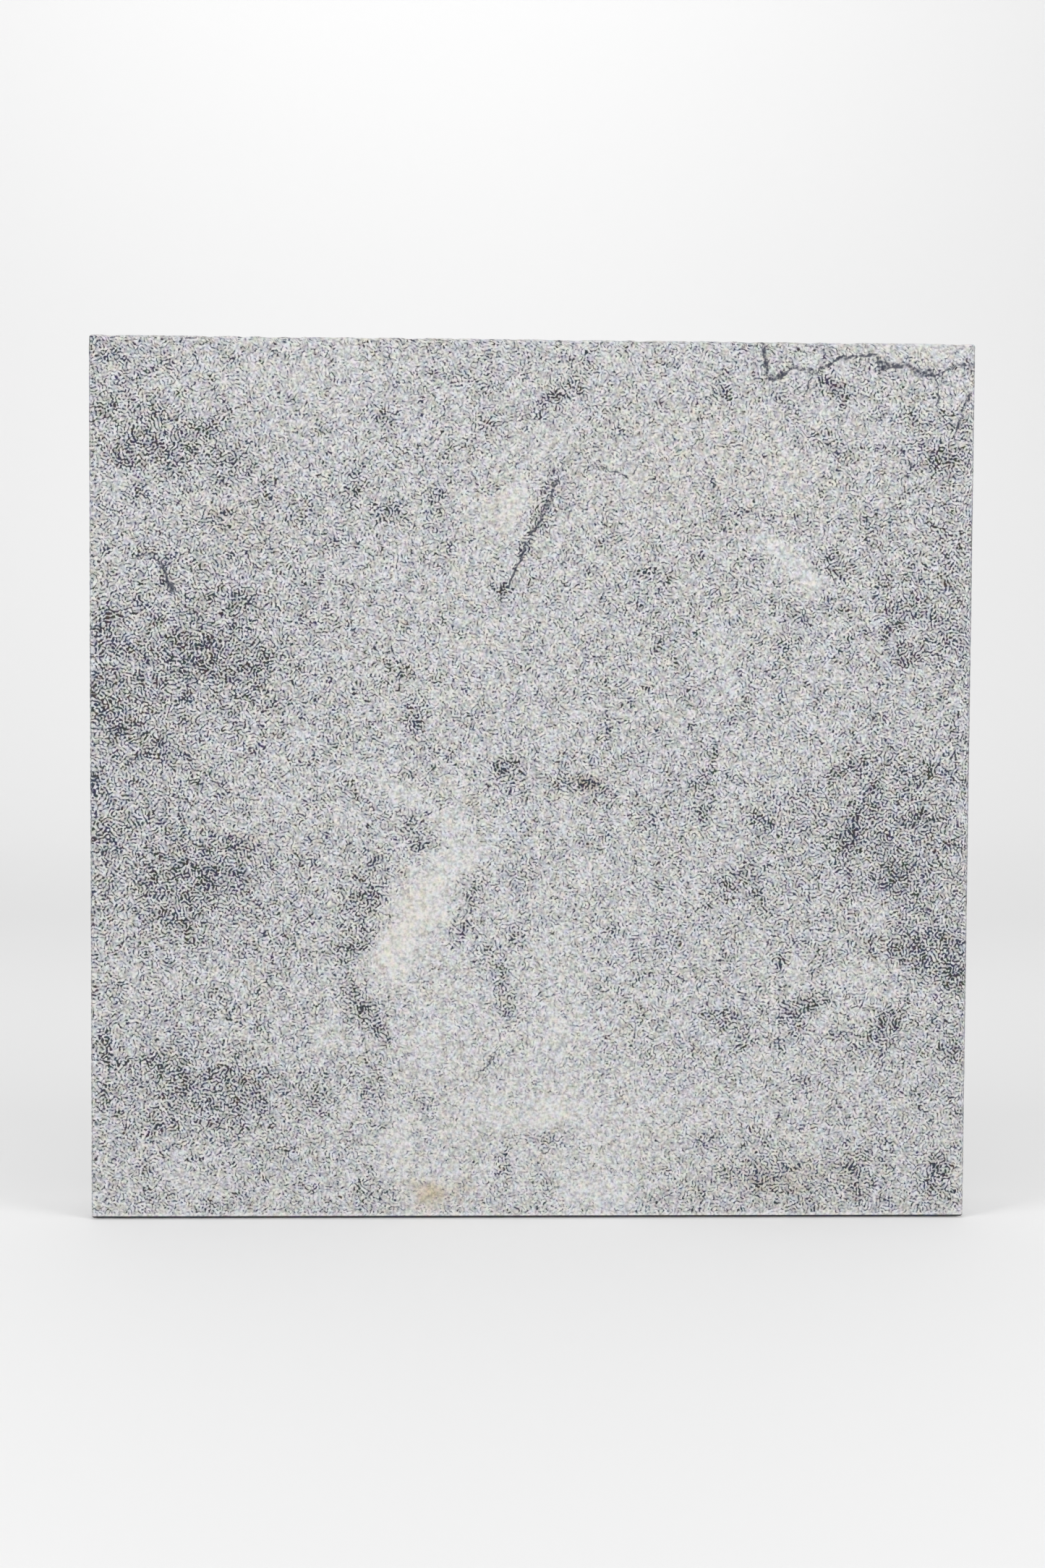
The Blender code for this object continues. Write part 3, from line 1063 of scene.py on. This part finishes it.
@dataclass(frozen=True)
class SlabMap:
    """Lays the slab's surface out flat, each face on its own sheet and the honed one on the largest."""

    face_share: float = 0.66
    back_share: float = 0.32
    gap: float = 0.006

    def write(self, mesh: bpy.types.Mesh, low: Vector, high: Vector) -> None:
        """Writes the layout as a UV map.

        Args:
            mesh: The slab's mesh.
            low: The slab's lowest corner.
            high: Its highest corner.
        """
        span = max(high.x - low.x, high.z - low.z)
        normals = np.empty(len(mesh.polygons) * 3, np.float32)
        mesh.polygons.foreach_get("normal", normals)
        normals = normals.reshape(-1, 3)
        counts = np.empty(len(mesh.polygons), np.int32)
        mesh.polygons.foreach_get("loop_total", counts)
        corners = np.empty(len(mesh.loops), np.int32)
        mesh.loops.foreach_get("vertex_index", corners)
        spots = vertex_places(mesh)[corners] - np.array(low)
        # Each polygon goes to the sheet of the axis that it faces most squarely.
        facing = np.abs(normals).argmax(axis=1)
        towards = np.take_along_axis(normals, facing[:, None], 1)[:, 0]
        axis = np.repeat(facing, counts)
        positive = np.repeat(towards > 0, counts)
        across, deep, up = (spots[:, place] / span for place in range(3))
        strip = (high.y - low.y) / span * self.face_share + self.gap
        left = self.face_share + 2 * self.gap
        top = 1 - self.face_share - self.gap
        uv = np.zeros((len(corners), 2))
        sheets = (
            ((axis == 1) & ~positive, across, up, self.gap, top, self.face_share),
            ((axis == 1) & positive, 1 - across, up, self.gap, self.gap, self.back_share),
            ((axis == 0) & ~positive, deep, up, left, top, self.face_share),
            ((axis == 0) & positive, deep, up, left + strip, top, self.face_share),
            ((axis == 2) & ~positive, deep, across, left + 2 * strip, top, self.face_share),
            ((axis == 2) & positive, deep, across, left + 3 * strip, top, self.face_share),
        )
        for mine, sideways, upwards, u_start, v_start, scale in sheets:
            uv[mine, 0] = u_start + sideways[mine] * scale
            uv[mine, 1] = v_start + upwards[mine] * scale
        layer = mesh.uv_layers.new(name="OFBake")
        layer.data.foreach_set("uv", uv.astype(np.float32).ravel())


# ---------------------------------------------------------------------------------------------------
# The studio
# ---------------------------------------------------------------------------------------------------


@dataclass(frozen=True)
class Softbox:
    """A square soft light that points at the slab or the backdrop."""

    name: str
    place: Triple
    aim: Triple
    size: float
    watts: float
    colour: str = "#ffffff"

    def build(self) -> None:
        """Adds the light."""
        lamp = bpy.data.lights.new(self.name, "AREA")
        lamp.shape = "SQUARE"
        lamp.size = self.size
        lamp.energy = self.watts
        lamp.color = srgb(self.colour)[:3]
        light = bpy.data.objects.new(self.name, lamp)
        light.location = self.place
        heading = Vector(self.aim) - Vector(self.place)
        light.rotation_euler = heading.to_track_quat("-Z", "Y").to_euler()
        bpy.context.scene.collection.objects.link(light)


@dataclass(frozen=True)
class Studio:
    """White sweep, soft lights and an even white room."""

    half_width: float = 4.0
    front: float = -4.0
    bend_start: float = 1.6
    bend_radius: float = 0.8
    top: float = 4.0
    bend_steps: int = 24
    room_colour: str = "#ffffff"
    room_light: float = 0.72
    softboxes: tuple[Softbox, ...] = (
        Softbox("backdrop_softbox", (-0.12, 1.1, 1.9), (-0.12, 2.4, 1.8), 1.4, 8.2),
        Softbox("left_softbox", (-1.3, -0.8, 0.7), (0.0, 0.0, 0.1), 0.7, 9.4),
        Softbox("right_softbox", (1.3, -0.8, 0.65), (0.0, 0.0, 0.1), 0.7, 9.0),
    )

    def build(self) -> bpy.types.Object:
        """Sets up the room.

        Returns:
            The sweep.
        """
        sweep = self.sweep()
        for softbox in self.softboxes:
            softbox.build()
        world = bpy.data.worlds.new("white_room")
        world.use_nodes = True
        room = world.node_tree.nodes["Background"]
        room.inputs["Color"].default_value = srgb(self.room_colour)
        room.inputs["Strength"].default_value = self.room_light
        bpy.context.scene.world = world
        return sweep

    def sweep(self) -> bpy.types.Object:
        """Makes the backdrop board.

        Returns:
            A floor that bends up into a wall behind the slab.
        """
        profile = [(self.front, 0.0), (self.bend_start, 0.0)]
        for step in range(1, self.bend_steps + 1):
            turn = math.pi / 2 * step / self.bend_steps
            profile.append((self.bend_start + self.bend_radius * math.sin(turn),
                            self.bend_radius * (1 - math.cos(turn))))
        profile.append((self.bend_start + self.bend_radius, self.top))
        points = [(side * self.half_width, y, z) for y, z in profile for side in (-1, 1)]
        faces = [(2 * row, 2 * row + 1, 2 * row + 3, 2 * row + 2) for row in range(len(profile) - 1)]
        mesh = bpy.data.meshes.new("white_sweep")
        mesh.from_pydata(points, [], faces)
        mesh.shade_smooth()
        mesh.materials.append(WhiteSweep().build())
        sweep = bpy.data.objects.new("white_sweep", mesh)
        bpy.context.scene.collection.objects.link(sweep)
        return sweep


@dataclass(frozen=True)
class StudioCamera:
    """The camera, a little left of the slab's middle and just above half its height.

    Angles are in degrees: turn to the right, tilt up from level and roll about the line of sight.
    """

    lens_mm: float = 44.8
    place: Triple = (-0.0235, -0.691, 0.1795)
    turn: float = 1.70
    tilt: float = -2.33
    roll: float = 0.32

    def build(self) -> None:
        """Adds the camera and makes it the scene's own."""
        lens = bpy.data.cameras.new("studio_camera")
        lens.lens = self.lens_mm
        camera = bpy.data.objects.new("studio_camera", lens)
        aim = (Matrix.Rotation(-math.radians(self.turn), 4, "Z")
               @ Matrix.Rotation(math.radians(90 + self.tilt), 4, "X")
               @ Matrix.Rotation(math.radians(self.roll), 4, "Z"))
        camera.matrix_world = Matrix.Translation(Vector(self.place)) @ aim
        bpy.context.scene.collection.objects.link(camera)
        bpy.context.scene.camera = camera


def main() -> None:
    """Builds the camera, the slab and the studio, and reports each piece."""
    logging.basicConfig(level=logging.INFO, format="%(name)s: %(message)s")
    bpy.context.scene.view_settings.view_transform = "Standard"
    StudioCamera().build()
    low, high = (Vector(corner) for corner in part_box("granite_slab"))
    size = high - low
    slab = SawnSlab(size.x, size.y, size.z).build(HonedGranite().build())
    StonePattern(face_y=low.y, depth=size.y).write(slab.data)
    SlabMap().write(slab.data, low, high)
    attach(slab, "root")
    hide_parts("granite_slab")
    LOG.info("%s: %d points, %d faces", slab.name, len(slab.data.vertices), len(slab.data.polygons))
    sweep = Studio().build()
    LOG.info("%s: the stage, not a piece", sweep.name)


if __name__ == "__main__":
    main()
